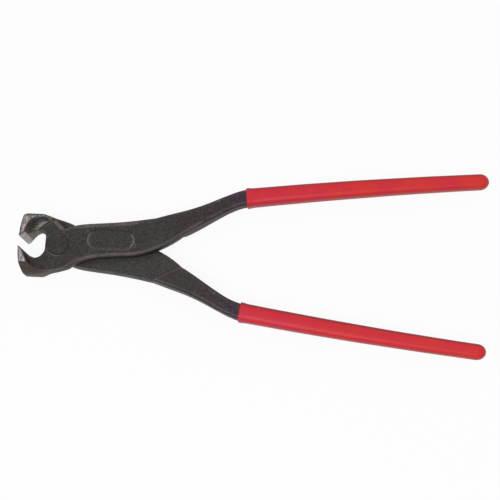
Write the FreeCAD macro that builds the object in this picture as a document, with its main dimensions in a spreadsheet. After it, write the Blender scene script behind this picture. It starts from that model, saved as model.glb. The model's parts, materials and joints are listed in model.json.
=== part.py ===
import FreeCAD, Part
import Sketcher
import math
import os

# Long-handled lap-joint end-cutting nippers (fencing pliers).
# One drop forging is used twice: the rear lever is the front lever turned half a turn about
# the tool's long axis.  Every lever is drawn in the pivot frame: the origin is the rivet's
# centre at mid thickness, +X runs to the handles, +Z is the lever's own outer side, its jaw
# is on -Y and its handle on +Y.  The placements then move the tool so that +Z is up, z = 0 is
# the cheeks' underside and the origin is the middle of the overall box.

doc = FreeCAD.newDocument("fencing_pliers")
sheet = doc.addObject("Spreadsheet::Sheet", "Sizes")

SIZES = [
    ("jaw_reach", 28.3, "pivot to cutting edge along the tool"),
    ("edge_gap", 3.6, "cutting edge off the tool's axis in the modelled pose"),
    ("blade_width", 32.0, "width of the cutting edge, across the tool's thickness"),
    ("nose_bulge", 0.2, "front face stands this far ahead of the cutting edge"),
    ("jaw_wall", 4.2, "jaw wall outside the joint, at the jaw's back corner"),
    ("nose_lean", 3.0, "how far the front face leans back at its foot"),
    ("nose_corner", 1.6, "radius of the corner between front face and back"),
    ("waist_step", 1.8, "how far the waist lies inside the joint's wall"),
    ("bevel_run", 4.1, "length of the ground bevel along the tool"),
    ("bevel_rise", 3.3, "rise of the ground bevel across the tool"),
    ("crown_outer", 7.8, "crowned back of the jaw: its fall at the outer cheek"),
    ("crown_lap", 4.0, "crowned back of the jaw: its fall at the lap side's cheek"),
    ("crown_top", 0.2, "crowned back of the jaw: its top, clear of the plan's back corner"),
    ("throat_wall", 9.5, "pivot to the throat's flat wall"),
    ("throat_half", 11.3, "half height of the throat"),
    ("throat_top", 9.2, "half height of the throat under the plate's horn"),
    ("throat_round", 4.2, "radius of the throat's corner under the horn"),
    ("horn_angle", 146.0, "bearing from the pivot where the plate's round rim meets the horn"),
    ("corner_cut", 0.9, "corner chamfer at each end of the cutting edge, across the edge"),
    ("corner_run", 1.4, "corner chamfer at each end of the cutting edge, along the edge"),
    ("joint_radius", 19.0, "radius of the plate where it turns inside the other jaw"),
    ("joint_clearance", 0.35, "gap between plate rim and the other jaw's wall"),
    ("plate_thick", 9.0, "thickness of one lever at the joint"),
    ("lap_gap", 0.1, "gap between the two lap faces"),
    ("edge_chamfer", 1.5, "chamfer round the outer face"),
    ("throat_chamfer", 0.6, "chamfer down the throat's wall"),
    ("flank_radius", 9.0, "radius of the hollow flank behind the blade"),
    ("flank_turn", 27.0, "how far the flank leans back, in degrees"),
    ("flank_start", 2.4, "flank behind the cutting edge, where they are nearest"),
    ("bowl_radius", 16.9, "scoop inside the jaw: radius at the cheek"),
    ("bowl_reach", 20.5, "scoop inside the jaw: its centre from the cutting edge"),
    ("bowl_offset", 4.5, "scoop inside the jaw: its centre off the tool's axis"),
    ("wall_end", 3.5, "end of the jaw wall, short of the pivot along the tool"),
    ("wall_end_height", 0.4, "height of the jaw wall's end, from mid thickness"),
    ("bowl_round", 5.0, "scoop inside the jaw: radius between its wall and floor"),
    ("bowl_floor", 3.0, "scoop inside the jaw: its floor off mid thickness"),
    ("rivet_radius", 6.0, "rivet shank"),
    ("rivet_head", 8.0, "rivet head radius, flush with the plates"),
    ("rivet_head_depth", 2.4, "depth of the countersunk head"),
    ("rivet_clearance", 0.04, "radial running clearance of the rivet"),
    ("shoulder_depth", 7.5, "thickness behind the lap shoulder, from mid thickness"),
    ("shoulder_lean", 2.1, "how far the handle's inner wall leans back at the lap shoulder"),
    ("grip_start", 139.6, "pivot to the grip's open end along the tool"),
    ("grip_end", 320.2, "pivot to the grip's tip along the tool"),
    ("spread_start", 43.7, "handle off the axis at the grip's open end"),
    ("spread_end", 64.8, "handle off the axis at the tip"),
    ("tang_half_start", 5.7, "tang half width at the grip's open end"),
    ("tang_half_end", 4.25, "tang half width at its far end"),
    ("tang_thick_start", 5.6, "tang half thickness at the grip's open end"),
    ("tang_thick_end", 4.2, "tang half thickness at its far end"),
    ("tang_chamfer", 1.8, "tang corner chamfer"),
    ("grip_wall", 1.45, "vinyl wall over the tang"),
    ("grip_cap", 6.0, "solid vinyl beyond the tang's end"),
    ("grip_clearance", 0.05, "gap between vinyl and tang"),
    ("grip_lip", 0.35, "rolled lip at the grip's open end"),
    ("grip_lip_length", 2.0, "length of the rolled lip"),
    ("panel_length", 36.0, "raised maker's panel, left bare"),
    ("panel_width", 14.0, "raised maker's panel"),
    ("panel_height", 0.5, "raised maker's panel"),
    ("panel_root", 0.2, "how deep the raised panel is rooted in the plate"),
    ("panel_x", 40.0, "raised panel's centre from the pivot"),
    ("panel_y", 4.6, "raised panel's centre off the axis"),
]
for row, (alias, value, note) in enumerate(SIZES, 1):
    sheet.set("A%d" % row, alias)
    sheet.set("B%d" % row, str(value))
    sheet.setAlias("B%d" % row, alias)
    sheet.set("C%d" % row, note)
doc.recompute()


def size(alias):
    return float(sheet.get(alias))


# ---------------------------------------------------------------- helpers

def vec(point):
    return FreeCAD.Vector(point[0], point[1], 0)


def plane_of(body, role):
    return [f for f in body.Origin.OriginFeatures if f.Role == role][0]


def new_sketch(body, name, role, placement=None):
    sketch = body.newObject("Sketcher::SketchObject", name)
    sketch.AttachmentSupport = [(plane_of(body, role), "")]
    sketch.MapMode = "FlatFace"
    if placement is not None:
        sketch.AttachmentOffset = placement
    return sketch


def at_height(z):
    return FreeCAD.Placement(FreeCAD.Vector(0, 0, z), FreeCAD.Rotation())


def add_loop(sketch, start, steps):
    """Closed outline.  A step is a point (line), a pair (arc through, end) or a list (curve)."""
    ends = []
    here = start
    for step in steps:
        ahead = (1, 2)
        if isinstance(step, list):
            curve = Part.BSplineCurve()
            curve.interpolate([vec(here)] + [vec(p) for p in step])
            geometry = curve
            there = step[-1]
        elif isinstance(step[0], tuple):
            middle, there = step
            geometry = Part.Arc(vec(here), vec(middle), vec(there))
            turn = (vec(middle) - vec(here)).cross(vec(there) - vec(middle)).z
            if turn < 0:
                ahead = (2, 1)
        else:
            geometry = Part.LineSegment(vec(here), vec(step))
            there = step
        ends.append((sketch.addGeometry(geometry), ahead))
        here = there
    for (index, ahead), (after, ahead_after) in zip(ends, ends[1:] + ends[:1]):
        sketch.addConstraint(Sketcher.Constraint("Coincident", index, ahead[1],
                                                 after, ahead_after[0]))


def bind(feature, prop, expression):
    feature.setExpression(prop, expression)


def bind_point(sketch, geometry, end, x=None, y=None):
    """Ties one end of an outline's piece to cells, by its distance from the sketch's origin."""
    point = sketch.getPoint(geometry, end)
    for kind, value, expression in (("DistanceX", point.x, x), ("DistanceY", point.y, y)):
        if expression is not None:
            number = sketch.addConstraint(Sketcher.Constraint(kind, -1, 1, geometry, end, value))
            bind(sketch, "Constraints[%d]" % number, expression)


def extrude(body, kind, name, sketch, length, symmetric=False, back=False):
    feature = body.newObject(kind, name)
    feature.Profile = sketch
    bind(feature, "Length", length)
    if symmetric:
        feature.SideType = "Symmetric"
    feature.Reversed = back
    sketch.Visibility = False
    doc.recompute()
    return feature


def turned(radius, degrees):
    """Point at a radius and bearing from the pivot."""
    angle = math.radians(degrees)
    return (radius * math.cos(angle), radius * math.sin(angle))


# ---------------------------------------------------------------- derived lines of the lever

reach = size("jaw_reach")
disc = size("joint_radius")
wall = disc + size("joint_clearance")
waist = wall - size("waist_step")
back_y = -wall - size("jaw_wall")
nose_x = reach + size("nose_bulge")
cutting_edge = (-reach, -size("edge_gap"))
bevel_top = (-reach + size("bevel_run"), -size("edge_gap") - size("bevel_rise"))
corner = size("nose_corner")
front_low = (-nose_x + size("nose_lean"), back_y + corner)
back_corner = (front_low[0] + corner, back_y)
waist_point = (9.0, -waist)
throat_x = -size("throat_wall")
throat_low = (throat_x - 7.5, -size("throat_half"))
blade_root = (-reach + 8.0, -size("throat_half") + 1.2)
half_width = size("blade_width") / 2
plate = size("plate_thick")
lap = size("lap_gap") / 2

# bare handle: inner and outer edge points, and the thickness on the lap and outer side
spread = size("spread_start")
start = size("grip_start")
shoulder_in = (start - 45.0, spread - 31.7)
shoulder_out = (start - 67.0, spread - 20.1)
HANDLE = [
    (shoulder_in, shoulder_out, size("shoulder_depth"), plate),
    ((start - 34.3, spread - 24.7), (start - 41.6, spread - 11.8), 6.9, 8.2),
    ((start - 19.8, spread - 15.5), (start - 26.0, spread - 5.0), 6.3, 6.9),
    ((start - 7.4, spread - 8.7), (start - 10.8, spread + 2.4), 5.9, 6.0),
]

GRIP_BOW = 4.8      # four times the height of the grip's gentle outward bow


def front_arc():
    return ((-nose_x + 0.3 * size("nose_lean"), -size("edge_gap") - 9.2), front_low)


def nose_arc():
    short = corner * (1 - math.sqrt(0.5))
    return ((front_low[0] + short, back_y + short), back_corner)


def back_arc():
    return ((-8.0, 0.5 * (back_y - waist) - 1.7), waist_point)


def back_arc_to_wall_end():
    """The same arc as the back, stopped where the jaw's wall ends."""
    middle, end = back_arc()
    whole = Part.Arc(vec(back_corner), vec(middle), vec(end)).toShape().Curve
    centre = whole.Center
    radius = whole.Radius

    def at(x):
        return (x, centre.y - math.sqrt(radius ** 2 - (x - centre.x) ** 2))

    return at(0.5 * (back_corner[0] - size("wall_end"))), at(-size("wall_end"))


def lower_edge():
    return [(17.0, -12.8), (24.0, -10.3), (32.0, -8.6), (46.0, -7.2), (60.0, -5.7),
            (68.5, -3.2), (77.5, 0.6), shoulder_in]


def outer_edge():
    return [(59.6, 21.3), (44.5, 19.1), (29.2, 17.6), (19.0, 16.5), (12.0, 15.1)]


def grip_axis(run):
    """Centre and bearing of the grip at a run of 0 (open end) to 1 (tip)."""
    x = start + run * (size("grip_end") - start)
    bow = GRIP_BOW * run * (1 - run)
    y = spread + run * (size("spread_end") - spread) + bow
    rise = (size("spread_end") - spread + GRIP_BOW * (1 - 2 * run)) / (size("grip_end") - start)
    return (x, y), math.atan(rise)


def across(point, angle):
    """Placement of a section plane square to the handle, local x across and local y up."""
    side = FreeCAD.Vector(-math.sin(angle), math.cos(angle), 0)
    along = FreeCAD.Vector(math.cos(angle), math.sin(angle), 0)
    turn = FreeCAD.Rotation(side, FreeCAD.Vector(0, 0, 1), along, "ZXY")
    return FreeCAD.Placement(FreeCAD.Vector(point[0], point[1], 0), turn)


def add_bar(sketch, low, high, bottom, top, cut, lean=None):
    """Chamfered bar section from low to high across, bottom to top in thickness; lean is the
    run and rise of a wider cut at the low, bottom corner."""
    run, rise = lean or (cut, cut)
    add_loop(sketch, (low + run, bottom), [
        (high - cut, bottom), (high, bottom + cut), (high, top - cut), (high - cut, top),
        (low + cut, top), (low, top - cut), (low, bottom + rise), (low + run, bottom)])


def station(body, name, run):
    """Sketch square to the grip's line at a run of 0 (open end) to 1 (tip)."""
    point, angle = grip_axis(run)
    sketch = new_sketch(body, name, "XY_Plane", across(point, angle))
    bow = GRIP_BOW * run * (1 - run)
    for axis, first, last, more in (("x", "Sizes.grip_start", "Sizes.grip_end", 0.0),
                                    ("y", "Sizes.spread_start", "Sizes.spread_end", bow)):
        bind(sketch, "AttachmentOffset.Base." + axis,
             "%s + %.9f * (%s - %s) + %.9f" % (first, run, last, first, more))
    return sketch


def tang_section(body, name, run, margin):
    share = min(1.0, run / tang_run)
    half = size("tang_half_start") + share * (size("tang_half_end") - size("tang_half_start"))
    thick = size("tang_thick_start") + share * (size("tang_thick_end") - size("tang_thick_start"))
    sketch = station(body, name, run)
    add_bar(sketch, -half - margin, half + margin, -thick - margin, thick + margin,
            size("tang_chamfer") + 0.6 * margin)
    return sketch


tang_run = 1 - (size("grip_cap") + 1.0) / (size("grip_end") - start)
TANG_RUNS = [0.0, 0.27, 0.6, tang_run]


def grip_section(body, name, run, extra):
    half = size("tang_half_start") + run * (size("tang_half_end") - size("tang_half_start"))
    thick = size("tang_thick_start") + run * (size("tang_thick_end") - size("tang_thick_start"))
    a = half + size("grip_wall") + extra
    b = thick + size("grip_wall") + 0.1 + extra
    r = 0.72 * b
    k = r * (1 - math.sqrt(0.5))
    sketch = station(body, name, run)
    add_loop(sketch, (-a + r, -b), [
        (a - r, -b), ((a - k, -b + k), (a, -b + r)), (a, b - r), ((a - k, b - k), (a - r, b)),
        (-a + r, b), ((-a + k, b - k), (-a, b - r)), (-a, -b + r),
        ((-a + k, -b + k), (-a + r, -b))])
    return sketch


def loft(body, kind, name, sections, ruled):
    feature = body.newObject(kind, name)
    feature.Profile = sections[0]
    feature.Sections = sections[1:]
    feature.Ruled = ruled
    for section in sections:
        section.Visibility = False
    doc.recompute()
    return feature


# ---------------------------------------------------------------- the forging

def make_lever(label, placement):
    body = doc.addObject("PartDesign::Body", label)
    body.Label = label

    # plate: the whole plan of jaw, joint and lap region on the outer half of the thickness
    sketch = new_sketch(body, label + "_plan", "XY_Plane", at_height(lap))
    sketch.setExpression("AttachmentOffset.Base.z", "Sizes.lap_gap / 2")
    disc_top = turned(disc, 99)
    horn = turned(disc, size("horn_angle"))
    round_in = size("throat_round")
    top = size("throat_top")
    round_mid = round_in * (1 - math.sqrt(0.5))
    add_loop(sketch, cutting_edge, [
        front_arc(),
        nose_arc(),
        back_arc(),
        lower_edge(),
        shoulder_out,
        outer_edge(),
        (4.4, 12.2),
        disc_top,
        (turned(disc, 0.5 * (99 + size("horn_angle"))), horn),
        (horn[0] + 0.9, top),
        (throat_x - round_in, top),
        ((throat_x - round_mid, top - round_mid), (throat_x, top - round_in)),
        (throat_x, -3.6),
        ((throat_x - 1.9, -size("throat_half") + 2.9), throat_low),
        ((-reach + 9.9, -size("throat_half") + 0.2), blade_root),
        bevel_top,
        cutting_edge])
    bind_point(sketch, 0, 1, "-Sizes.jaw_reach", "-Sizes.edge_gap")
    blank = extrude(body, "PartDesign::Pad", label + "_plate", sketch,
                    "Sizes.plate_thick - Sizes.lap_gap / 2")

    # chamfers round the outer face: the wide one from the waist to the shoulder and round the
    # rim to the horn, then a narrow one down the throat's wall
    def on_rim(box):
        past_throat = box.XMin > throat_x + 0.1 or box.YMax > top + 5.0
        return past_throat and box.XMin < shoulder_out[0] - 0.1

    def on_throat(box):
        return box.XMax < throat_x + 0.1 and box.XMin > throat_x - round_in - 0.1

    base = blank
    for suffix, chosen, cell in (("rim", on_rim, "Sizes.edge_chamfer"),
                                 ("throat", on_throat, "Sizes.throat_chamfer")):
        edges = []
        for number, edge in enumerate(base.Shape.Edges, 1):
            box = edge.BoundBox
            if box.ZMin > plate - 0.01 and chosen(box):
                edges.append("Edge%d" % number)
        chamfer = body.newObject("PartDesign::Chamfer", "%s_%s_chamfer" % (label, suffix))
        chamfer.Base = (base, edges)
        bind(chamfer, "Size", cell)
        doc.recompute()
        base = chamfer

    # jaw: full width, open inside the joint radius on the lap side
    sketch = new_sketch(body, label + "_jaw_plan", "XY_Plane", at_height(-half_width))
    sketch.setExpression("AttachmentOffset.Base.z", "-Sizes.blade_width / 2")
    end_angle = 270 - math.degrees(math.asin(size("wall_end") / wall))
    in_angle = 180 + math.degrees(math.asin(-throat_low[1] / wall)) + 2.5
    arc_end = turned(wall, in_angle)
    add_loop(sketch, cutting_edge, [
        front_arc(),
        nose_arc(),
        back_arc_to_wall_end(),
        turned(wall, end_angle),
        (turned(wall, 0.5 * (end_angle + in_angle)), arc_end),
        blade_root,
        bevel_top,
        cutting_edge])
    bind_point(sketch, 0, 1, "-Sizes.jaw_reach", "-Sizes.edge_gap")
    extrude(body, "PartDesign::Pad", label + "_jaw", sketch, "Sizes.blade_width")

    # outer side of the jaw: hollow flank from the blade down to the plate face, leaning back
    lean = math.radians(size("flank_turn"))
    radius = size("flank_radius")
    drop = half_width - plate
    flank_run = math.sqrt(max(radius ** 2 - (radius - drop) ** 2, 1.0))
    half_turn = 0.5 * math.acos(1 - drop / radius)
    sketch = new_sketch(body, label + "_flank", "XY_Plane",
                        across((-reach + size("flank_start"), -size("edge_gap") - 1.8),
                               lean - math.pi / 2))
    add_loop(sketch, (0, half_width), [
        ((flank_run - radius * math.sin(half_turn),
          plate + radius * (1 - math.cos(half_turn))), (flank_run, plate)),
        (60.0, plate), (60.0, half_width + 6), (0, half_width + 6), (0, half_width)])
    extrude(body, "PartDesign::Pocket", label + "_flank_cut", sketch, "Sizes.joint_radius * 5",
            symmetric=True)

    # lap side of the jaw: cheek slopes from the blade down to the end of the wall
    sketch = new_sketch(body, label + "_cheek", "XZ_Plane")
    low = size("wall_end_height")
    add_loop(sketch, (blade_root[0] + 0.8, -half_width), [
        (-size("wall_end") - 1.0, -low), (30.0, -low), (30.0, -half_width - 6),
        (blade_root[0] + 0.8, -half_width - 6), (blade_root[0] + 0.8, -half_width)])
    extrude(body, "PartDesign::Pocket", label + "_cheek_cut", sketch, "Sizes.joint_radius * 5",
            symmetric=True)

    # crowned back of the jaw, and the chamfered ends of the cutting edge
    sketch = new_sketch(body, label + "_corners", "YZ_Plane")
    outer = back_y + size("crown_outer")
    lap_end = back_y + size("crown_lap")
    add_loop(sketch, (outer, half_width), [
        [(back_y + 0.25 * size("crown_outer"), plate), (back_y - size("crown_top"), 0),
         (back_y + 0.25 * size("crown_lap"), -plate), (lap_end, -half_width)],
        (lap_end, -half_width - 4), (back_y - 4, -half_width - 4),
        (back_y - 4, half_width + 4), (outer, half_width + 4), (outer, half_width)])
    for side in (1, -1):
        edge_y = -size("edge_gap")
        add_loop(sketch, (edge_y + 2, side * (half_width - size("corner_run"))), [
            (edge_y, side * (half_width - size("corner_run"))),
            (edge_y - size("corner_cut"), side * half_width),
            (edge_y - size("corner_cut"), side * (half_width + 2)),
            (edge_y + 2, side * (half_width + 2)),
            (edge_y + 2, side * (half_width - size("corner_run")))])
    extrude(body, "PartDesign::Pocket", label + "_corner_cut", sketch, "Sizes.jaw_reach * 3",
            symmetric=True)

    # scoop inside the jaw on the lap side, outside the joint's wall
    top_r = size("bowl_radius")
    turn_r = size("bowl_round")
    low_r = top_r - 0.6 - turn_r
    floor_z = -size("bowl_floor")
    turn_mid = turn_r * math.sqrt(0.5)
    centre = FreeCAD.Vector(-reach + size("bowl_reach"), 0, size("bowl_offset"))
    sketch = new_sketch(body, label + "_scoop", "XZ_Plane",
                        FreeCAD.Placement(centre, FreeCAD.Rotation()))
    add_loop(sketch, (0, floor_z), [
        (low_r, floor_z),
        ((low_r + turn_mid, floor_z - turn_r + turn_mid), (low_r + turn_r, floor_z - turn_r)),
        (top_r, -half_width),
        (top_r, -half_width - 3), (0, -half_width - 3), (0, floor_z)])
    groove = body.newObject("PartDesign::Groove", label + "_scoop_cut")
    groove.Profile = sketch
    groove.ReferenceAxis = (sketch, ["V_Axis"])
    groove.Angle = 360
    doc.recompute()

    # rivet hole, countersunk on the outer face
    sketch = new_sketch(body, label + "_bore", "XZ_Plane")
    gap = size("rivet_clearance")
    add_loop(sketch, (0, -2), [
        (size("rivet_radius") + gap, -2),
        (size("rivet_radius") + gap, plate - size("rivet_head_depth")),
        (size("rivet_head") + gap, plate),
        (size("rivet_head") + gap, plate + 2), (0, plate + 2), (0, -2)])
    bind_point(sketch, 1, 2, "Sizes.rivet_radius + Sizes.rivet_clearance",
               "Sizes.plate_thick - Sizes.rivet_head_depth")
    bind_point(sketch, 2, 2, "Sizes.rivet_head + Sizes.rivet_clearance", "Sizes.plate_thick")
    bore = body.newObject("PartDesign::Groove", label + "_rivet_hole")
    bore.Profile = sketch
    bore.ReferenceAxis = (sketch, ["V_Axis"])
    bore.Angle = 360
    doc.recompute()

    # bare handle from the lap shoulder to the grip, then the tang inside the grip
    sections = []
    for number, (inner, outer, below, above) in enumerate(HANDLE):
        angle = math.atan2(outer[1] - inner[1], outer[0] - inner[0]) - math.pi / 2
        length = math.hypot(outer[0] - inner[0], outer[1] - inner[1])
        section = new_sketch(body, "%s_handle_%d" % (label, number), "XY_Plane",
                             across(inner, angle))
        lean = (size("shoulder_lean"), size("shoulder_depth") - 0.8) if number == 0 else None
        add_bar(section, 0, length, -below, above, size("edge_chamfer"), lean)
        sections.append(section)
    section = station(body, label + "_handle_end", 0.0)
    half = size("tang_half_start") + 0.3
    add_bar(section, -half, half, -size("tang_thick_start") - 0.3,
            size("tang_thick_start") + 0.3, size("edge_chamfer"))
    sections.append(section)
    loft(body, "PartDesign::AdditiveLoft", label + "_handle", sections, False)
    tang = [tang_section(body, "%s_tang_%d" % (label, n), run, 0.0)
            for n, run in enumerate(TANG_RUNS)]
    loft(body, "PartDesign::AdditiveLoft", label + "_tang", tang, True)

    # raised maker's panel, bare
    sketch = new_sketch(body, label + "_panel", "XY_Plane",
                        at_height(plate - size("panel_root")))
    bind(sketch, "AttachmentOffset.Base.z", "Sizes.plate_thick - Sizes.panel_root")
    r = size("panel_width") / 2
    x = size("panel_length") / 2 - r
    px = size("panel_x")
    py = size("panel_y")
    add_loop(sketch, (px - x, py - r), [
        (px + x, py - r), ((px + x + r, py), (px + x, py + r)),
        (px - x, py + r), ((px - x - r, py), (px - x, py - r))])
    bind_point(sketch, 0, 1, "Sizes.panel_x - (Sizes.panel_length - Sizes.panel_width) / 2",
               "Sizes.panel_y - Sizes.panel_width / 2")
    bind_point(sketch, 0, 2, "Sizes.panel_x + (Sizes.panel_length - Sizes.panel_width) / 2")
    extrude(body, "PartDesign::Pad", label + "_panel_pad", sketch, "Sizes.panel_height + Sizes.panel_root")

    body.Placement = placement
    return body


def make_grip(label, placement):
    body = doc.addObject("PartDesign::Body", label)
    body.Label = label
    run_of = 1.0 / (size("grip_end") - start)
    lip = size("grip_lip")
    tip = size("tang_thick_end") + size("grip_wall")
    stations = [(0.0, lip), (size("grip_lip_length") * run_of, lip),
                (2.0 * size("grip_lip_length") * run_of, 0.0),
                (0.2, 0.0), (0.45, 0.0), (0.7, 0.0)]
    for share in (1.0, 0.55, 0.25, 0.08, 0.0):
        inset = tip * (1 - math.sqrt(1 - (1 - share) ** 2)) * 0.8
        stations.append((1 - share * tip * run_of, -inset))
    outer = [grip_section(body, "%s_outer_%d" % (label, n), run, extra)
             for n, (run, extra) in enumerate(stations)]
    loft(body, "PartDesign::AdditiveLoft", label + "_sleeve", outer, True)
    bore = [tang_section(body, "%s_bore_%d" % (label, n), run, size("grip_clearance"))
            for n, run in enumerate(TANG_RUNS)]
    loft(body, "PartDesign::SubtractiveLoft", label + "_bore", bore, True)
    body.Placement = placement
    return body


def make_rivet(label, placement):
    body = doc.addObject("PartDesign::Body", label)
    body.Label = label
    sketch = new_sketch(body, label + "_profile", "XZ_Plane")
    r = size("rivet_radius")
    head = size("rivet_head")
    neck = plate - size("rivet_head_depth")
    add_loop(sketch, (0, -plate), [
        (head, -plate), (r, -neck), (r, neck), (head, plate), (0, plate), (0, -plate)])
    for piece, x, y in ((0, "rivet_head", "-Sizes.plate_thick"),
                        (1, "rivet_radius", "Sizes.rivet_head_depth - Sizes.plate_thick"),
                        (2, "rivet_radius", "Sizes.plate_thick - Sizes.rivet_head_depth"),
                        (3, "rivet_head", "Sizes.plate_thick")):
        bind_point(sketch, piece, 2, "Sizes." + x, y)
    turned_rivet = body.newObject("PartDesign::Revolution", label + "_turned")
    turned_rivet.Profile = sketch
    turned_rivet.ReferenceAxis = (sketch, ["V_Axis"])
    turned_rivet.Angle = 360
    doc.recompute()
    body.Placement = placement
    return body


# ---------------------------------------------------------------- the assembly

pivot = FreeCAD.Vector(-(size("grip_end") - nose_x) / 2, 0, half_width)
upright = FreeCAD.Placement(pivot, FreeCAD.Rotation())
turned_over = FreeCAD.Placement(pivot, FreeCAD.Rotation(FreeCAD.Vector(1, 0, 0), 180))

bodies = [
    make_lever("front_lever", upright),
    make_lever("rear_lever", turned_over),
    make_rivet("pivot_rivet", upright),
    make_grip("front_grip", upright),
    make_grip("rear_grip", turned_over),
]
doc.recompute()

for item in doc.Objects:
    if "Invalid" in item.State or "Error" in item.State:
        raise RuntimeError("failed feature: " + item.Name)

os.makedirs("parts", exist_ok=True)
for body in bodies:
    shape = body.Shape
    if shape.isNull() or not shape.isValid() or len(shape.Solids) != 1:
        raise RuntimeError("bad solid: %s, %d solids" % (body.Label, len(shape.Solids)))
    shape.exportStep("parts/%s.step" % body.Label)
    box = shape.BoundBox
    print("%s %.0f mm3 x %.1f..%.1f y %.1f..%.1f z %.1f..%.1f" % (
        body.Label, shape.Volume, box.XMin, box.XMax, box.YMin, box.YMax, box.ZMin, box.ZMax))
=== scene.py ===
import json
import math

import bmesh
import bpy
import numpy as np
from mathutils import Matrix, Vector

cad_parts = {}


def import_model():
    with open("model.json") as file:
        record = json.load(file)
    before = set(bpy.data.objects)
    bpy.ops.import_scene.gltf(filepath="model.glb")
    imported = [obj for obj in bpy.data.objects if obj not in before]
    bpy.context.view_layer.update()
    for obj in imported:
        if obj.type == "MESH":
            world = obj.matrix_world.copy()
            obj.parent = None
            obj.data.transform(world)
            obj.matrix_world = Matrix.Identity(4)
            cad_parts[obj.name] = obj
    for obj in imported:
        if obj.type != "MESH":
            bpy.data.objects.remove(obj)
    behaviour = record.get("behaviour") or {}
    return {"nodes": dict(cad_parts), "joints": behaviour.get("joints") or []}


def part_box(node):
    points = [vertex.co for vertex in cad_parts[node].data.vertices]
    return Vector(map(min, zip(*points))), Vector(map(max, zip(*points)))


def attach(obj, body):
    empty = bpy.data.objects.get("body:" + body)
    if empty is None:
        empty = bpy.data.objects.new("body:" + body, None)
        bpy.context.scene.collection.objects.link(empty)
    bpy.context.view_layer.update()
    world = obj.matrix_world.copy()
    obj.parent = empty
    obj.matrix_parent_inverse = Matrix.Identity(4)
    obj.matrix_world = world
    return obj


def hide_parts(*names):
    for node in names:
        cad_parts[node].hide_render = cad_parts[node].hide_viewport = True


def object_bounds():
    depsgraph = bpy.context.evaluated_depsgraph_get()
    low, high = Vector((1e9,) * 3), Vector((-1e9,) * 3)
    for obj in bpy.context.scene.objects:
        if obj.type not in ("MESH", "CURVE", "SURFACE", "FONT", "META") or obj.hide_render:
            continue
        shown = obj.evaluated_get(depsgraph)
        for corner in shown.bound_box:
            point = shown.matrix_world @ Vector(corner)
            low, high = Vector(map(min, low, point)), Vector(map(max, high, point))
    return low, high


# Long-handled end-cutting fencing pliers: two black forgings lapped on a flush rivet, with dipped
# red vinyl sleeves.  The frame holds the true sizes.  Here each forging is re-surfaced with
# softly rounded edges, and its ground and machined areas are marked for the materials.

MM = 0.001
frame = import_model()
cad_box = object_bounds()
nodes = frame["nodes"]
joint = frame["joints"][0]
PIVOT = np.array(joint["pos_m"])

# sizes that the frame's boxes do not say, in metres, in a lever's own pivot frame
PLATE = 9.0 * MM                 # one lever's thickness at the joint
HALF_BLADE = 16.0 * MM           # half the width of the cutting edge
JAW_REACH = 28.3 * MM            # pivot to cutting edge
EDGE_GAP = 3.6 * MM              # cutting edge off the tool's axis
BEVEL_RUN = 4.1 * MM
BEVEL_RISE = 3.3 * MM
BEVEL_LENGTH = math.hypot(BEVEL_RUN, BEVEL_RISE)
BEVEL_END = -JAW_REACH + BEVEL_RUN   # where the bevel ends along the tool
EDGE_CHAMFER = 1.5 * MM          # round a plate's outer face
CHEEK_START = 19.5 * MM          # pivot to where the lap side's cheek starts to slope
CHEEK_END = 4.5 * MM             # pivot to the slope's other end
CHEEK_END_HEIGHT = 0.4 * MM
LAP_END = 74.0 * MM              # pivot to the nearer end of the lap shoulder
SCOOP_CENTRE = (-7.8 * MM, -4.5 * MM)
SCOOP_RADIUS = 16.9 * MM
SCOOP_FLOOR = 3.0 * MM           # off mid thickness
HIGHLIGHT_BEARING = 118.0           # degrees round the scoop's centre
HIGHLIGHT_SPREAD = 13.0
PANEL_CENTRE = (40.0 * MM, 4.6 * MM)
PANEL_LENGTH = 36.0 * MM
PANEL_WIDTH = 14.0 * MM
PANEL_MARGIN = 1.0 * MM          # the wear mask reaches this far past the panel
RIVET_HEAD = 8.0 * MM            # radius
SPOT_FACE = (17.5 * MM, 13.0 * MM)   # the spot-faced ring fades out between these radii

# the sleeves
GRIP_START = 139.6 * MM          # pivot to the open ends
# thinner than the solid's wall, so that the bore clears the rounded tang past the mouth, where
# the two still cross slightly
GRIP_WALL = 1.2 * MM
GRIP_CAP = 7.0 * MM              # blind end of the bore to the tip
GRIP_LIP = 0.35 * MM
GRIP_LIP_LENGTH = 2.0 * MM
MOUTH_ROUND = 0.6 * MM           # radius of the open end's outer corner
SKIN_INSET = 0.05 * MM           # the visual surface lies this far inside the solid's
SAG = 0.05 * MM                  # unevenness of the dipped skin
OUTER_POWER = 3.1                # superellipse powers of the outside and the bore
BORE_POWER = 3.6
RING = 48                        # points round a sleeve
STATIONS = 200                   # rings along it
DOME_RINGS = 15                  # rings round its tip
DOME_STRETCH = 1.15              # the tip's length, in half widths
THINNEST = 0.02 * MM             # half size at which the tip's rings stop shrinking
BORE_RINGS = 60

# the forgings' skin
SKIN_VOXEL = 0.485 * MM
ROUNDING_PASSES = 5
CRISP_REACH = (2.4 * MM, 0.8 * MM)   # rounding fades out between these distances from an edge
WAVE = 0.012 * MM                # hammer-scale unevenness, and how far it sinks the skin
WAVE_SINK = 0.036 * MM


# ---------------------------------------------------------------- mesh helpers

def new_object(name, mesh):
    ob = bpy.data.objects.new(name, mesh)
    bpy.context.scene.collection.objects.link(ob)
    return ob


def points_of(mesh):
    co = np.empty(len(mesh.vertices) * 3, np.float32)
    mesh.vertices.foreach_get("co", co)
    return co.reshape(-1, 3).astype(float)


def set_points(mesh, co):
    mesh.vertices.foreach_set("co", co.astype(np.float32).ravel())
    mesh.update()


def normals_of(mesh):
    no = np.empty(len(mesh.vertices) * 3, np.float32)
    mesh.vertices.foreach_get("normal", no)
    return no.reshape(-1, 3).astype(float)


def edges_of(mesh):
    pairs = np.empty(len(mesh.edges) * 2, np.int32)
    mesh.edges.foreach_get("vertices", pairs)
    return pairs.reshape(-1, 2)


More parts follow.
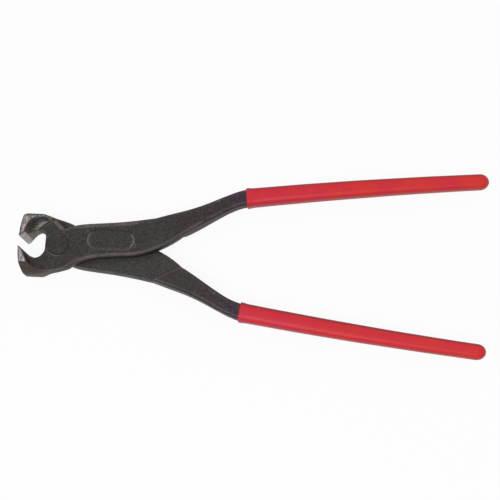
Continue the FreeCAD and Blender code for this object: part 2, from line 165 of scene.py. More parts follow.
def neighbour_mean(values, pairs, count):
    """Mean of each vertex's neighbours."""
    total = np.zeros_like(values)
    number = np.zeros(count)
    for a, b in ((0, 1), (1, 0)):
        np.add.at(total, pairs[:, a], values[pairs[:, b]])
        np.add.at(number, pairs[:, a], 1)
    number = np.maximum(number, 1)
    return total / (number[:, None] if values.ndim == 2 else number)


def soften(values, pairs, passes):
    for _ in range(passes):
        values = 0.5 * values + 0.5 * neighbour_mean(values, pairs, len(values))
    return values


def smoothstep(low, high, x):
    t = np.clip((x - low) / (high - low), 0, 1)
    return t * t * (3 - 2 * t)


def store(mesh, name, values):
    attribute = mesh.attributes.new(name, "FLOAT", "POINT")
    attribute.data.foreach_set("value", values.astype(np.float32))


def store_soft(mesh, name, values, pairs, passes):
    """Store a mask with its border softened."""
    store(mesh, name, np.clip(soften(values, pairs, passes), 0, 1))


def smooth_shaded(mesh):
    mesh.polygons.foreach_set("use_smooth", np.ones(len(mesh.polygons), bool))


def resurfaced(node, name, voxel, passes, crisp):
    """A dense, evenly spaced copy of a CAD node, its edges rounded over except where crisp is 1."""
    source = nodes[node]
    work = new_object("work", source.data.copy())
    remesh = work.modifiers.new("Remesh", "REMESH")
    remesh.mode = "VOXEL"
    remesh.voxel_size = voxel
    depsgraph = bpy.context.evaluated_depsgraph_get()
    mesh = bpy.data.meshes.new_from_object(work.evaluated_get(depsgraph))
    bpy.data.objects.remove(work)
    mesh.name = name
    mesh.materials.clear()
    pairs = edges_of(mesh)
    co = points_of(mesh)
    share = 0.5 * (1 - crisp(co))[:, None]
    for _ in range(passes):
        co = (1 - share) * co + share * neighbour_mean(co, pairs, len(co))
    set_points(mesh, co)
    smooth_shaded(mesh)
    return mesh


def mark_edges(mesh, co, normal, pairs, local):
    """Convex edges stand above the mean of their neighbours and are coloured bright, partly wear
    and partly painted highlight; hollows get painted shade.
    """
    x, y, z = local.T
    step = neighbour_mean(co, pairs, len(co)) - co
    bulge = -np.einsum("ij,ij->i", step, normal) / SKIN_VOXEL
    bulge = soften(bulge, pairs, 2)

    # painted highlight: the panel's ends brighter than its long sides
    panel_x, panel_y = x - PANEL_CENTRE[0], y - PANEL_CENTRE[1]
    on_panel = np.abs(panel_x) < PANEL_LENGTH / 2 + PANEL_MARGIN
    on_panel &= z > PLATE - 1 * MM
    on_panel &= np.abs(panel_y) < PANEL_WIDTH / 2 + PANEL_MARGIN
    end_highlight = smoothstep(0.66, 0.9, np.abs(panel_x) / (PANEL_LENGTH / 2))
    end_highlight = end_highlight * smoothstep(0.9, 0.5, np.abs(panel_y) / (PANEL_WIDTH / 2))
    wear_and_highlight_gain = np.where(on_panel, 3 + 26 * end_highlight, 9)

    # a painted highlight where the plate is notched beside the horn, and no brightening at the
    # rivet's hole
    at_face = z > PLATE - 3 * MM
    notch_highlight = at_face & (x > -4 * MM) & (x < 6 * MM) & (y > 11 * MM)
    wear_and_highlight_gain = np.where(notch_highlight, 30, wear_and_highlight_gain)
    at_rivet = np.hypot(x, y) < RIVET_HEAD + 1.4 * MM
    wear_and_highlight_gain = np.where(at_rivet & at_face, 0, wear_and_highlight_gain)
    wear_and_highlight = np.clip(bulge * wear_and_highlight_gain, 0, 1)

    # a painted highlight in a wider strip along the handle's upper edge
    brow_highlight = at_face & (x > 12 * MM) & (x < 60 * MM) & (y > 13 * MM)
    upper_edge_highlight = soften(np.where(brow_highlight, np.clip(bulge * 30, 0, 1), 0.0), pairs, 6)
    store(mesh, "edge", np.maximum(wear_and_highlight, np.clip(upper_edge_highlight * 2.2, 0, 1)))
    # concave creases, for painted shade
    store(mesh, "crease_shade", np.clip(-bulge * 9, 0, 1))


def mark_cheeks(mesh, pairs, local, turned):
    """Ground areas: the flat cheeks, the lap side's sloping cheek and the cutting bevel."""
    x, _, z = local.T
    nx, ny, nz = turned.T
    jaw = smoothstep(-4 * MM, -6 * MM, x)
    flat = smoothstep(14.6 * MM, 15.5 * MM, z)
    outer_cheek = jaw * smoothstep(0.90, 0.98, nz) * flat
    tilt = math.atan2(HALF_BLADE - CHEEK_END_HEIGHT, CHEEK_START - CHEEK_END)
    slope = -nz * math.cos(tilt) + nx * math.sin(tilt)
    lap_cheek = smoothstep(0.90, 0.98, -nz) * smoothstep(-14.6 * MM, -15.5 * MM, z)
    lap_slope = smoothstep(0.90, 0.98, slope) * smoothstep(-2.0 * MM, -8.0 * MM, z)
    cheek = np.maximum(outer_cheek, jaw * np.maximum(lap_cheek, lap_slope))
    facing = (nx * BEVEL_RISE + ny * BEVEL_RUN) / BEVEL_LENGTH
    bevel = smoothstep(0.86, 0.95, facing)
    bevel = bevel * smoothstep(BEVEL_END + 0.4 * MM, BEVEL_END - 0.4 * MM, x)
    store_soft(mesh, "ground", np.maximum(cheek, bevel), pairs, 1)
    store(mesh, "bevel", bevel)
    return cheek, bevel, facing


def mark_jaw(mesh, pairs, local, turned, cheek, bevel, facing):
    """The blade's inner side past the bevel, the scoop behind it, which gets painted fill light and
    a painted highlight, and the crowned back, which gets painted light.
    """
    x, y, z = local.T
    ny = turned.T[1]
    depth = ((x + JAW_REACH) * BEVEL_RISE + (y + EDGE_GAP) * BEVEL_RUN) / BEVEL_LENGTH
    inner = smoothstep(BEVEL_END - 0.3 * MM, BEVEL_END + 0.4 * MM, x)
    inner = inner * smoothstep(1.6 * MM, 0.9 * MM, np.abs(depth)) * smoothstep(0.5, 0.8, facing)
    store_soft(mesh, "blade", inner, pairs, 2)

    scoop_x, scoop_y = x - SCOOP_CENTRE[0], y - SCOOP_CENTRE[1]
    reach = np.hypot(scoop_x, scoop_y)
    scoop = smoothstep(SCOOP_RADIUS + 0.3 * MM, SCOOP_RADIUS - 0.3 * MM, reach)
    scoop = scoop * smoothstep(-SCOOP_FLOOR + 0.3 * MM, -SCOOP_FLOOR - 0.3 * MM, z)
    scoop = scoop * (1 - cheek) * (1 - bevel) * (1 - inner) * smoothstep(2 * MM, 0, x)
    store_soft(mesh, "scoop", scoop, pairs, 2)

    # a painted highlight up the scoop's wall, and the jaw's crowned back, coloured lighter brown as
    # painted light
    bearing = np.degrees(np.arctan2(scoop_y, scoop_x))
    scoop_highlight = scoop * np.exp(-((bearing + HIGHLIGHT_BEARING) / HIGHLIGHT_SPREAD) ** 2)
    store_soft(mesh, "scoop_highlight", scoop_highlight, pairs, 2)
    lit_jaw_back = smoothstep(-0.25, -0.55, ny) * smoothstep(-2 * MM, -8 * MM, x)
    lit_jaw_back = lit_jaw_back * smoothstep(-16 * MM, -18 * MM, y)
    store_soft(mesh, "lit_jaw_back", lit_jaw_back * (1 - cheek), pairs, 2)
    return depth


def mark_chamfers(mesh, pairs, local, turned, depth, bevel):
    """Coloured bright: painted highlight on the outer face's chamfers and a painted glint at the
    heel, and a land bare from wear along the cutting edge.
    """
    x, y, z = local.T
    nz = turned.T[2]
    chamfer_highlight = smoothstep(0.50, 0.60, nz) * smoothstep(0.90, 0.80, nz)
    chamfer_highlight = chamfer_highlight * smoothstep(PLATE - EDGE_CHAMFER - 0.2 * MM, PLATE - EDGE_CHAMFER, z)
    # a painted glint on the rim at the jaw's heel
    heel_glint = smoothstep(-21 * MM, -18 * MM, x) * smoothstep(-6 * MM, -9 * MM, x)
    heel_glint = heel_glint * smoothstep(-17 * MM, -19 * MM, y)
    chamfer_highlight = chamfer_highlight * smoothstep(PLATE + 0.2 * MM, PLATE, z)
    chamfer_highlight = chamfer_highlight * np.maximum(smoothstep(0, 10 * MM, x), heel_glint)
    land = smoothstep(-1.3 * MM, -0.7 * MM, depth)
    land = land * smoothstep(PLATE + 1 * MM, PLATE + 3 * MM, z)
    land = land * smoothstep(BEVEL_END + 4 * MM, BEVEL_END, x) * (1 - bevel)
    store_soft(mesh, "wear_and_highlight", np.maximum(chamfer_highlight, land), pairs, 1)


def mark_joint(mesh, pairs, local, turned):
    """The machined lap face, and the spot-faced ring round the rivet on the outer side."""
    x, y, z = local.T
    nz = turned.T[2]
    lap = smoothstep(0.9, 0.98, -nz) * smoothstep(-0.6 * MM, -0.2 * MM, z)
    lap = lap * smoothstep(0.6 * MM, 0.3 * MM, z)
    store_soft(mesh, "lap", lap, pairs, 2)
    spot = smoothstep(*SPOT_FACE, np.hypot(x, y)) * smoothstep(0.9, 0.98, nz)
    store(mesh, "spot", spot * smoothstep(7.5 * MM, 8.4 * MM, z))
    return lap, spot


def forging(node, body, turned_over):
    flip = np.array([1, -1, -1]) if turned_over else np.array([1, 1, 1])

    def at_cutting_edge(co):
        local = (co - PIVOT) * flip
        away = np.hypot(local[:, 0] + JAW_REACH, local[:, 1] + EDGE_GAP)
        return smoothstep(*CRISP_REACH, away)

    mesh = resurfaced(node, node + "_forging", SKIN_VOXEL, ROUNDING_PASSES, at_cutting_edge)
    pairs = edges_of(mesh)
    co = points_of(mesh)
    normal = normals_of(mesh)
    # the lever's own pivot frame, with +Z its outer side and its jaw on -Y
    local = (co - PIVOT) * flip
    turned = normal * flip
    mark_edges(mesh, co, normal, pairs, local)
    cheek, bevel, facing = mark_cheeks(mesh, pairs, local, turned)
    depth = mark_jaw(mesh, pairs, local, turned, cheek, bevel, facing)
    mark_chamfers(mesh, pairs, local, turned, depth, bevel)
    lap, spot = mark_joint(mesh, pairs, local, turned)

    # hammer-scale unevenness of the forging, never on the fitted faces
    x, y, z = local.T
    free = 1 - np.clip(lap + cheek + bevel + spot, 0, 1)
    inside = (x < LAP_END) & (z < PLATE - 2.0 * MM)
    free = soften(np.where(inside, 0.0, free), pairs, 4)
    wave = (np.sin(x * 410 + 1.3 * np.sin(y * 290)) + np.sin(y * 530 + z * 350 + 2.1)
            + np.sin(x * 190 - y * 240 + 0.7))
    set_points(mesh, co + normal * (wave * free * -WAVE - WAVE_SINK * free)[:, None])

    ob = new_object(node + "_forging", mesh)
    mesh.materials.append(steel_rear if turned_over else steel_front)
    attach(ob, body)
    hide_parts(node)
    return ob


# ---------------------------------------------------------------- node helpers

class Nodes:
    """Short calls for a material's node tree."""

    def __init__(self, name):
        self.material = bpy.data.materials.new(name)
        self.material.use_nodes = True
        self.tree = self.material.node_tree
        self.tree.nodes.clear()
        self.output = self.add("ShaderNodeOutputMaterial")
        self.shader = self.add("ShaderNodeBsdfPrincipled")
        self.link(self.shader.outputs[0], self.output.inputs["Surface"])

    def add(self, kind, **values):
        node = self.tree.nodes.new(kind)
        for key, value in values.items():
            setattr(node, key, value)
        return node

    def link(self, source, target):
        self.tree.links.new(source, target)

    def put(self, socket, value):
        if isinstance(value, bpy.types.NodeSocket):
            self.link(value, socket)
        else:
            socket.default_value = value

    def math(self, operation, a, b=0.0, clamp=False):
        node = self.add("ShaderNodeMath", operation=operation, use_clamp=clamp)
        for socket, value in zip(node.inputs, (a, b)):
            self.put(socket, value)
        return node.outputs[0]

    def attribute(self, name):
        return self.add("ShaderNodeAttribute", attribute_name=name).outputs["Fac"]

    def place(self, scale=(1, 1, 1), location=(0, 0, 0)):
        where = self.add("ShaderNodeTexCoord").outputs["Object"]
        mapping = self.add("ShaderNodeMapping")
        self.link(where, mapping.inputs["Vector"])
        mapping.inputs["Scale"].default_value = scale
        mapping.inputs["Location"].default_value = location
        return mapping.outputs[0]

    def noise(self, vector, scale, detail=4.0, roughness=0.55, distortion=0.0):
        node = self.add("ShaderNodeTexNoise")
        self.link(vector, node.inputs["Vector"])
        node.inputs["Scale"].default_value = scale
        node.inputs["Detail"].default_value = detail
        node.inputs["Roughness"].default_value = roughness
        node.inputs["Distortion"].default_value = distortion
        return node.outputs["Fac"]

    def ramp(self, value, stops):
        """Colour ramp from (position, colour or grey) stops."""
        node = self.add("ShaderNodeValToRGB")
        self.link(value, node.inputs["Fac"])
        elements = node.color_ramp.elements
        while len(elements) < len(stops):
            elements.new(0.5)
        for element, (position, colour) in zip(elements, stops):
            element.position = position
            if not isinstance(colour, tuple):
                colour = (colour, colour, colour)
            element.color = (*colour, 1)
        return node.outputs["Color"]

    def mix(self, factor, a, b, blend="MIX"):
        node = self.add("ShaderNodeMix", data_type="RGBA", blend_type=blend)
        self.put(node.inputs["Factor"], factor)
        for socket, value in ((node.inputs[6], a), (node.inputs[7], b)):
            self.put(socket, (*value, 1) if isinstance(value, tuple) else value)
        return node.outputs[2]

    def blend(self, factor, a, b):
        """Number between a and b."""
        node = self.add("ShaderNodeMix", data_type="FLOAT")
        for socket, value in ((node.inputs[0], factor), (node.inputs[2], a), (node.inputs[3], b)):
            self.put(socket, value)
        return node.outputs[0]

    def bump(self, height, strength, distance, under=None):
        node = self.add("ShaderNodeBump")
        node.inputs["Strength"].default_value = strength
        node.inputs["Distance"].default_value = distance
        self.link(height, node.inputs["Height"])
        if under is not None:
            self.link(under, node.inputs["Normal"])
        return node.outputs[0]


# ---------------------------------------------------------------- materials

def round_pivot(n):
    """Distance from the rivet's axis and bearing round it, in the plane the levers swing in."""
    where = n.add("ShaderNodeSeparateXYZ")
    n.link(n.place(location=tuple(-PIVOT)), where.inputs[0])
    x, y = where.outputs[0], where.outputs[1]
    radius = n.math("SQRT", n.math("ADD", n.math("MULTIPLY", x, x), n.math("MULTIPLY", y, y)))
    return radius, n.math("ARCTAN2", y, x)


def black_steel(name, seed):
    """Oil-blackened forging with bright ground cheeks, a machined lap face and turned rings."""
    n = Nodes(name)
    here = n.place(location=(seed, seed, 0))
    ground = n.attribute("ground")
    blade = n.attribute("blade")
    lap = n.attribute("lap")
    edge = n.attribute("edge")
    crease_shade = n.attribute("crease_shade")
    spot = n.attribute("spot")
    scoop = n.attribute("scoop")
    chamfer_highlight_and_land = n.attribute("wear_and_highlight")
    radius, bearing = round_pivot(n)

    # olive by the joint, browner along the handle, and violet where it enters the sleeve
    patches = n.noise(here, 60, 3, 0.5)
    fine = n.noise(here, 700, 4, 0.65)
    grit = n.noise(here, 2600, 2, 0.6)
    along = n.math("ADD", n.math("DIVIDE", radius, GRIP_START),
                   n.math("MULTIPLY", n.math("SUBTRACT", patches, 0.5), 0.9))
    tint = n.ramp(along, [(0.10, (0.0355, 0.0315, 0.0305)), (0.28, (0.0360, 0.0360, 0.0320)),
                          (0.55, (0.0345, 0.0325, 0.0305)), (0.78, (0.0365, 0.0285, 0.0270)),
                          (0.97, (0.0380, 0.0285, 0.0370))])
    speckle = n.ramp(fine, [(0.34, 0.62), (0.50, 0.98), (0.68, 1.55)])
    forged = n.mix(1.0, tint, speckle, "MULTIPLY")
    # painted shade: concave creases darkened
    forged = n.mix(n.math("MULTIPLY", crease_shade, 0.55), forged, (0.012, 0.011, 0.010))
    # convex edges bright: bare metal from wear, boosted into painted highlights at the notch, the
    # panel's ends and the upper edge
    wear_and_highlight = n.math("MULTIPLY", edge, n.ramp(patches, [(0.35, 0.25), (0.62, 1.0)]))
    forged = n.mix(n.math("MULTIPLY", wear_and_highlight, 0.75, clamp=True), forged, (0.17, 0.135, 0.135))
    # painted highlight on the outer chamfers and at the heel, and the land bare from wear by the
    # cutting edge
    lit_chamfer_and_land = n.ramp(n.noise(here, 170, 3, 0.6), [(0.36, 0.25), (0.58, 1.0)])
    lit_chamfer_and_land = n.math("MULTIPLY", chamfer_highlight_and_land, lit_chamfer_and_land)
    forged = n.mix(n.math("MULTIPLY", lit_chamfer_and_land, 0.85), forged, (0.125, 0.088, 0.088))
    # painted fill light: the scoop coloured a lighter olive to lift its shade
    scoop_fill_light = n.mix(1.0, (0.115, 0.112, 0.088), speckle, "MULTIPLY")
    forged = n.mix(n.math("MULTIPLY", scoop, 0.9), forged, scoop_fill_light)
    # painted highlight up the scoop's wall
    scoop_glint = n.ramp(fine, [(0.4, 0.2), (0.6, 0.9)])
    scoop_glint = n.math("MULTIPLY", n.attribute("scoop_highlight"), scoop_glint)
    forged = n.mix(scoop_glint, forged, (0.26, 0.26, 0.28))
    # painted light: the jaws' crowned backs coloured lighter brown
    lit_jaw_back_colour = n.mix(1.0, (0.062, 0.050, 0.043), speckle, "MULTIPLY")
    forged = n.mix(n.attribute("lit_jaw_back"), forged, lit_jaw_back_colour)
    machined = n.mix(1.0, (0.043, 0.042, 0.039), speckle, "MULTIPLY")
    forged = n.mix(n.math("MULTIPLY", lap, 0.75), forged, machined)
    # the dark seam round the rivet, and a painted highlight in a crescent on one side of the ring
    # round it
    share = n.math("DIVIDE", radius, 2 * RIVET_HEAD)
    seam = n.ramp(share, [(0.490, 0.0), (0.500, 1.0), (0.520, 1.0), (0.545, 0.0)])
    forged = n.mix(n.math("MULTIPLY", n.math("MULTIPLY", seam, spot), 0.85), forged,
                   (0.007, 0.006, 0.006))
    ring = n.ramp(share, [(0.540, 0.0), (0.562, 1.0), (0.595, 0.0)])
    turn = n.math("COSINE", n.math("ADD", bearing, 2.54))
    rivet_ring_highlight = n.math("MULTIPLY", ring, n.ramp(turn, [(0.0, 0.10), (0.75, 1.0)]))
    rivet_ring_highlight = n.math("MULTIPLY", n.math("MULTIPLY", rivet_ring_highlight, spot), patches)
    forged = n.mix(rivet_ring_highlight, forged, (0.22, 0.20, 0.19))
    # stray nicks that show bare metal
    nicks = n.ramp(n.noise(here, 420, 1, 0.3), [(0.775, 0.0), (0.80, 0.7)])
    forged = n.mix(nicks, forged, (0.16, 0.14, 0.13))

    # ground steel: bright strokes broken by dark pits
    strokes = n.noise(n.place(scale=(520, 130, 130), location=(seed, 0, 0)), 1.0, 4, 0.65)
    mottle = n.noise(here, 900, 3, 0.7)
    bright = n.ramp(n.math("ADD", n.math("MULTIPLY", strokes, 0.5),
                           n.math("MULTIPLY", mottle, 0.5)),
                    [(0.38, (0.070, 0.062, 0.060)), (0.50, (0.215, 0.190, 0.190)),
                     (0.62, (0.46, 0.42, 0.43))])
    bright = n.mix(n.math("MULTIPLY", n.attribute("bevel"), 0.35), bright, (0.60, 0.54, 0.51))
    tan = n.ramp(mottle, [(0.38, (0.075, 0.050, 0.032)), (0.62, (0.23, 0.19, 0.145))])
    colour = n.mix(n.math("MULTIPLY", blade, 0.8), forged, tan)
    colour = n.mix(ground, colour, bright)
    n.link(colour, n.shader.inputs["Base Color"])
    n.shader.inputs["Metallic"].default_value = 0.75
    n.shader.inputs["Specular IOR Level"].default_value = 0.25

    rough = n.math("ADD", 0.40, n.math("MULTIPLY", fine, 0.25))
    rough = n.blend(ground, rough, 0.42)
    n.link(n.blend(lap, rough, 0.50), n.shader.inputs["Roughness"])

    # forged skin, then grinding strokes, then rings turned round the rivet
    skin = n.math("ADD", n.math("MULTIPLY", fine, 0.7), n.math("MULTIPLY", grit, 0.3))
    skin = n.math("MULTIPLY", skin, n.math("SUBTRACT", 1.0, n.math("MAXIMUM", ground, lap)))
    normal = n.bump(skin, 0.6, 0.00025)
    normal = n.bump(n.math("MULTIPLY", strokes, ground), 0.5, 0.00012, normal)
    rings = n.math("SINE", n.math("MULTIPLY", radius, 2 * math.pi / (1.1 * MM)))
    rings = n.math("MULTIPLY", rings, n.math("MULTIPLY", spot, patches))
    n.link(n.bump(rings, 0.4, 0.00016, normal), n.shader.inputs["Normal"])
    return n.material


def turned_steel():
    """Blackened rivet, ground flush, with fine turned rings."""
    n = Nodes("turned_steel")
    radius, _ = round_pivot(n)
    rings = n.math("SINE", n.math("MULTIPLY", radius, 2 * math.pi / (0.9 * MM)))
    cloud = n.noise(n.place(), 160, 3)
    fine = n.noise(n.place(), 900, 3, 0.6)
    colour = n.mix(cloud, (0.024, 0.024, 0.022), (0.041, 0.038, 0.036))
    colour = n.mix(1.0, colour, n.ramp(fine, [(0.35, 0.70), (0.65, 1.35)]), "MULTIPLY")
    n.link(colour, n.shader.inputs["Base Color"])
    n.shader.inputs["Metallic"].default_value = 0.75
    n.shader.inputs["Specular IOR Level"].default_value = 0.25
    n.link(n.math("ADD", 0.34, n.math("MULTIPLY", cloud, 0.2)), n.shader.inputs["Roughness"])
    n.link(n.bump(rings, 0.35, 0.00010), n.shader.inputs["Normal"])
    return n.material


def red_vinyl():
    """Dipped plasticised vinyl: a soft sheen over a slightly uneven skin, with painted shade at its
    sides.
    """
    n = Nodes("red_vinyl")
    cloud = n.noise(n.place(), 60, 3, 0.5)
    fine = n.noise(n.place(), 1800, 3, 0.6)
    patch = n.ramp(cloud, [(0.38, 0.0), (0.62, 1.0)])
    colour = n.mix(patch, (0.58, 0.011, 0.028), (0.62, 0.019, 0.015))
    radius, _ = round_pivot(n)
    near = n.ramp(n.math("DIVIDE", radius, 2 * GRIP_START), [(0.50, 1.0), (0.80, 0.0)])
    colour = n.mix(n.math("MULTIPLY", near, 0.6), colour, (0.57, 0.012, 0.044))
    # painted shade along the sides and round the tip
    colour = n.mix(n.math("MULTIPLY", n.attribute("side"), 0.75), colour, (0.17, 0.026, 0.030))
    n.link(colour, n.shader.inputs["Base Color"])
    n.shader.inputs["Specular IOR Level"].default_value = 0.3
    n.link(n.math("ADD", 0.34, n.math("MULTIPLY", fine, 0.14)), n.shader.inputs["Roughness"])
    streaks = n.noise(n.place(scale=(0.12, 1, 1)), 420, 2, 0.5)
    normal = n.bump(streaks, 0.25, 0.0003)
    n.link(n.bump(fine, 0.12, 0.00006, normal), n.shader.inputs["Normal"])
    return n.material


steel_front = black_steel("black_steel_front", 0.0)
steel_rear = black_steel("black_steel_rear", 0.37)
rivet_steel = turned_steel()
vinyl = red_vinyl()


# ---------------------------------------------------------------- grips

def cut(co, pairs, origin, direction):
    """Where the mesh's edges cross a plane."""
    height = (co - origin) @ direction
    a, b = pairs[:, 0], pairs[:, 1]
    crossing = (height[a] < 0) != (height[b] < 0)
    a, b = a[crossing], b[crossing]
    share = height[a] / (height[a] - height[b])
    return co[a] + share[:, None] * (co[b] - co[a])


def grip_line(node):
    """The grip's open end, its tip, and at runs between them its centre, half width and half
    thickness, all measured on the CAD solid."""
    mesh = nodes[node].data
    co = points_of(mesh)
    pairs = edges_of(mesh)
    low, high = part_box(node)
    sign = 1.0 if abs(high.y) > abs(low.y) else -1.0
    axis = np.array([1.0, 0.0, 0.0])
    for _ in range(3):
        along = co @ axis
        first, last = along.min(), along.max()
        ends = [cut(co, pairs, axis * (first + share * (last - first)), axis).mean(0)
                for share in (0.1, 0.85)]
        axis = (ends[1] - ends[0]) / np.linalg.norm(ends[1] - ends[0])
    side = np.cross([0, 0, 1], axis) * sign
    side /= np.linalg.norm(side)
    along = co @ axis
    first, last = along.min(), along.max()
    rows = []
    for share in np.linspace(0.04, 0.93, 24):
        there = cut(co, pairs, axis * (first + share * (last - first)), axis)
        across = there @ side
        up = there[:, 2]
        rows.append((share, (across.max() + across.min()) / 2, (up.max() + up.min()) / 2,
                     (across.max() - across.min()) / 2, (up.max() - up.min()) / 2))
    return axis, side, first, last, np.array(rows)


def superellipse(a, b, power, angle):
    c, s = np.cos(angle), np.sin(angle)
    return (a * np.sign(c) * np.abs(c) ** (2 / power), b * np.sign(s) * np.abs(s) ** (2 / power))


def grip(node, body):
    axis, side, first, last, rows = grip_line(node)
    length = last - first
    centre = np.polyfit(rows[:, 0], rows[:, 1], 2)
    height = rows[:, 2].mean()
    width = np.polyfit(rows[:, 0], rows[:, 3], 1)
    thick = np.polyfit(rows[:, 0], rows[:, 4], 1)
    angle = np.arange(RING) * 2 * math.pi / RING
    dome = DOME_STRETCH * np.polyval(width, 1.0)

    def ring(distance, inset, power):
        share = distance / length
        a = np.polyval(width, share) - inset
        b = np.polyval(thick, share) - inset
        across, up = superellipse(max(a, THINNEST), max(b, THINNEST), power, angle)
        middle = axis * (first + distance) + side * np.polyval(centre, share)
        middle = middle + np.array([0, 0, height])
        return middle + np.outer(across, side) + np.outer(up, [0, 0, 1])

    # pairs of distance from the open end and inset from the solid's outside
    stations = [(MOUTH_ROUND * (1 - math.cos(math.pi / 2 * t)),
                 MOUTH_ROUND * (1 - math.sin(math.pi / 2 * t)) - GRIP_LIP)
                for t in np.linspace(0, 1, 7)]
    for distance in np.linspace(1.0 * MM, length - dome, STATIONS):
        lip = GRIP_LIP * (1 - smoothstep(GRIP_LIP_LENGTH, 2.4 * GRIP_LIP_LENGTH, distance))
        sag = SAG * math.sin(distance * 95) * math.sin(distance * 37 + 1)
        stations.append((distance, -lip + SKIN_INSET + sag * min(1, distance / (20 * MM))))
    radius = np.polyval(width, 1.0)
    for t in np.linspace(0, 1, DOME_RINGS + 1)[1:]:
        turn = t * math.pi / 2
        stations.append((length - dome + dome * math.sin(turn),
                         SKIN_INSET + radius * (1 - math.cos(turn))))
    verts = [ring(d, inset, OUTER_POWER) for d, inset in stations]
    # the bore, from its blind end back to the open end
    blind = length - GRIP_CAP
    bore = [(d, GRIP_WALL) for d in np.linspace(blind, 1.2 * MM, BORE_RINGS)]
    bore.append((0.3 * MM, GRIP_WALL - 0.15 * MM))
    inner = [ring(d, inset, BORE_POWER) for d, inset in bore]

    outer_rings = len(verts)
    co = np.concatenate(verts + inner)
    faces = []
    total = outer_rings + len(inner)

    def wall(row, next_row):
        for k in range(RING):
            k2 = (k + 1) % RING
            faces.append((row * RING + k, row * RING + k2, next_row * RING + k2,
                          next_row * RING + k))

    for row in range(outer_rings - 1):
        wall(row, row + 1)
    faces.append(tuple((outer_rings - 1) * RING + k for k in range(RING)))
    faces.append(tuple(outer_rings * RING + k for k in reversed(range(RING))))
    for row in range(outer_rings, total - 1):
        wall(row, row + 1)
    wall(total - 1, 0)
    mesh = bpy.data.meshes.new(node + "_sleeve")
    mesh.from_pydata([tuple(p) for p in co], [], faces)
    mesh.validate()
    bm = bmesh.new()
    bm.from_mesh(mesh)
    bmesh.ops.recalc_face_normals(bm, faces=bm.faces)
    bm.to_mesh(mesh)
    bm.free()
    smooth_shaded(mesh)
    # painted shade along the sides, stronger on one, and round the tip's rim
    upward = np.cos(angle) * np.sign(side[1])
    side_shade = np.maximum(0.6 * smoothstep(0.72, 1.0, -upward), smoothstep(0.42, 0.72, upward))
    side_shade = np.tile(side_shade, (total, 1))
    dome_rows = slice(outer_rings - DOME_RINGS, outer_rings)
    tip_rim_shade = smoothstep(0.45, 0.85, np.linspace(0, 1, DOME_RINGS + 1)[1:, None])
    side_shade[dome_rows] = np.maximum(side_shade[dome_rows], tip_rim_shade)
    store(mesh, "side", side_shade.ravel())
    ob = new_object(node + "_sleeve", mesh)
    mesh.materials.append(vinyl)
    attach(ob, body)
    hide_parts(node)
    return ob


# ---------------------------------------------------------------- the object

def rivet():
    ob = nodes["pivot_rivet"]
    ob.data.materials.clear()
    ob.data.materials.append(rivet_steel)


forging("front_lever", "front_half", False)
forging("rear_lever", "rear_half", True)
rivet()
grip("front_grip", "front_half")
grip("rear_grip", "rear_half")


# ---------------------------------------------------------------- stage

FLOOR_SIZE = 4.0                 # metres each way
FLOOR_GAP = 0.2 * MM             # under the lowest cheek
FLOOR_GLOW = 0.92                # share of plain white that the camera sees on the floor
WORLD_LEVEL = 0.5

# name, place, side in metres and power in watts; both look at the origin
LAMPS = [("key", (-0.25, -0.55, 1.3), 0.8, 9), ("fill", (0.6, 0.6, 1.2), 1.2, 3)]

# fitted view: turn about each axis, distance in frame pixels, and where the pivot lies
YAW, PITCH, ROLL = -0.0604870934, -0.226961469, -0.0611081163
DISTANCE = 1200.0
OFFSET = (-190.074303, 3.54759776)
SCALE = 0.757 * MM               # one frame pixel at the pivot
FRAME_PIXELS = 500
SENSOR = 36                      # millimetres


def floor():
    mesh = bpy.data.meshes.new("floor")
    low, _ = cad_box
    size = FLOOR_SIZE
    z = low[2] - FLOOR_GAP
    mesh.from_pydata([(-size, -size, z), (size, -size, z), (size, size, z), (-size, size, z)],
                     [], [(0, 1, 2, 3)])
    ob = new_object("floor", mesh)
    n = Nodes("pale_floor")
    n.shader.inputs["Base Color"].default_value = (0.86, 0.86, 0.86, 1)
    n.shader.inputs["Roughness"].default_value = 0.9
    glow = n.add("ShaderNodeEmission")
    path = n.add("ShaderNodeLightPath")
    seen = n.math("MAXIMUM", path.outputs["Is Camera Ray"], path.outputs["Is Glossy Ray"])
    both = n.add("ShaderNodeMixShader")
    n.link(n.math("MULTIPLY", seen, FLOOR_GLOW), both.inputs[0])
    n.link(n.shader.outputs[0], both.inputs[1])
    n.link(glow.outputs[0], both.inputs[2])
    n.link(both.outputs[0], n.output.inputs["Surface"])
    mesh.materials.append(n.material)


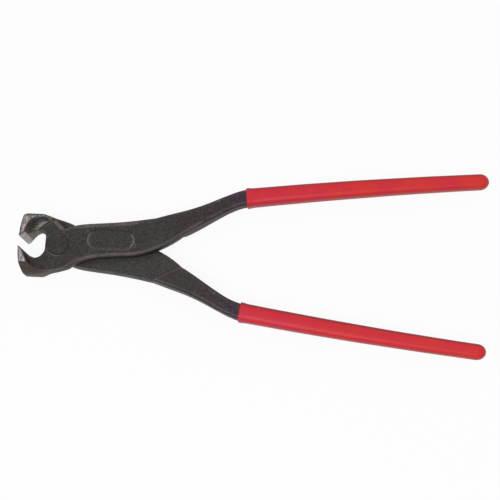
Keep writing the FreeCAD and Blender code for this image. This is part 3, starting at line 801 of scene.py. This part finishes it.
def area_light(name, location, size, power):
    data = bpy.data.lights.new(name, "AREA")
    data.shape = "RECTANGLE"
    data.size = data.size_y = size
    data.energy = power
    ob = bpy.data.objects.new(name, data)
    bpy.context.scene.collection.objects.link(ob)
    ob.location = location
    ob.rotation_euler = (-Vector(location)).to_track_quat("-Z", "Y").to_euler()


def world():
    made = bpy.data.worlds.new("studio")
    bpy.context.scene.world = made
    made.use_nodes = True
    tree = made.node_tree
    tree.nodes.clear()
    out = tree.nodes.new("ShaderNodeOutputWorld")
    white = tree.nodes.new("ShaderNodeBackground")
    white.inputs[0].default_value = (1, 1, 1, 1)
    soft = tree.nodes.new("ShaderNodeBackground")
    soft.inputs[0].default_value = (1, 1, 1, 1)
    soft.inputs[1].default_value = WORLD_LEVEL
    path = tree.nodes.new("ShaderNodeLightPath")
    mix = tree.nodes.new("ShaderNodeMixShader")
    seen = tree.nodes.new("ShaderNodeMath")
    seen.operation = "MAXIMUM"
    tree.links.new(path.outputs["Is Camera Ray"], seen.inputs[0])
    tree.links.new(path.outputs["Is Glossy Ray"], seen.inputs[1])
    tree.links.new(seen.outputs[0], mix.inputs[0])
    tree.links.new(soft.outputs[0], mix.inputs[1])
    tree.links.new(white.outputs[0], mix.inputs[2])
    tree.links.new(mix.outputs[0], out.inputs[0])


def camera():
    turn = (Matrix.Rotation(PITCH, 3, "X") @ Matrix.Rotation(YAW, 3, "Y")
            @ Matrix.Rotation(ROLL, 3, "Z"))
    back = turn.transposed()
    eye = back @ (Vector((-OFFSET[0], -OFFSET[1], DISTANCE)) * SCALE) + Vector(PIVOT)
    data = bpy.data.cameras.new("camera")
    data.sensor_width = SENSOR
    data.lens = SENSOR * DISTANCE / FRAME_PIXELS
    data.clip_end = 20
    ob = bpy.data.objects.new("camera", data)
    bpy.context.scene.collection.objects.link(ob)
    ob.matrix_world = Matrix.Translation(eye) @ back.to_4x4()
    bpy.context.scene.camera = ob


floor()
world()
for lamp in LAMPS:
    area_light(*lamp)
camera()
bpy.context.scene.view_settings.view_transform = "Standard"
